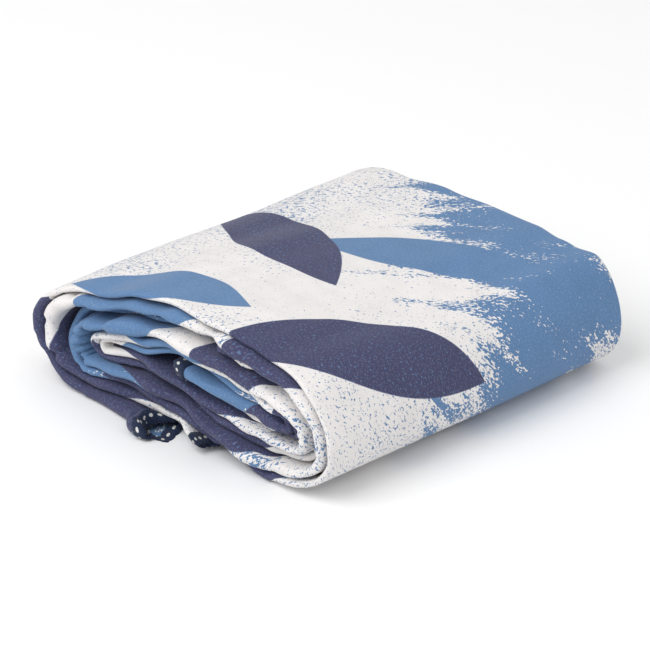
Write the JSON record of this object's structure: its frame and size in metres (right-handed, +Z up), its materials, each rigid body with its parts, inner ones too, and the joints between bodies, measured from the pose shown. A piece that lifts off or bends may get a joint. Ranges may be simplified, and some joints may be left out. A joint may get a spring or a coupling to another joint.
{
  "type": "microfiber towel",
  "caption": "Large printed microfibre towel with an overlocked edging, folded in four across its width and rolled flat into a soft bundle that rests on its underside.",
  "frame": {"origin": "the centre of the bounding box's bottom face, on the surface that the bundle rests on", "axes": "+Z up; +X along the folded edges of the strip's width, from the end that shows the two folded edges towards the end with the one middle fold; +Y along the flat runs of the roll, towards the fold with the open pocket"},
  "size_m": [0.2488, 0.2344, 0.0802],
  "materials": {
    "microfibre": "soft matt short-pile microfibre, printed in blue and navy on off-white",
    "edging_thread": "matt navy overlock thread with small white dots"
  },
  "bodies": {
    "root": {"towel": "microfibre", "edging_outer_hem": "edging_thread", "edging_inner_hem": "edging_thread"}
  },
  "joints": []
}
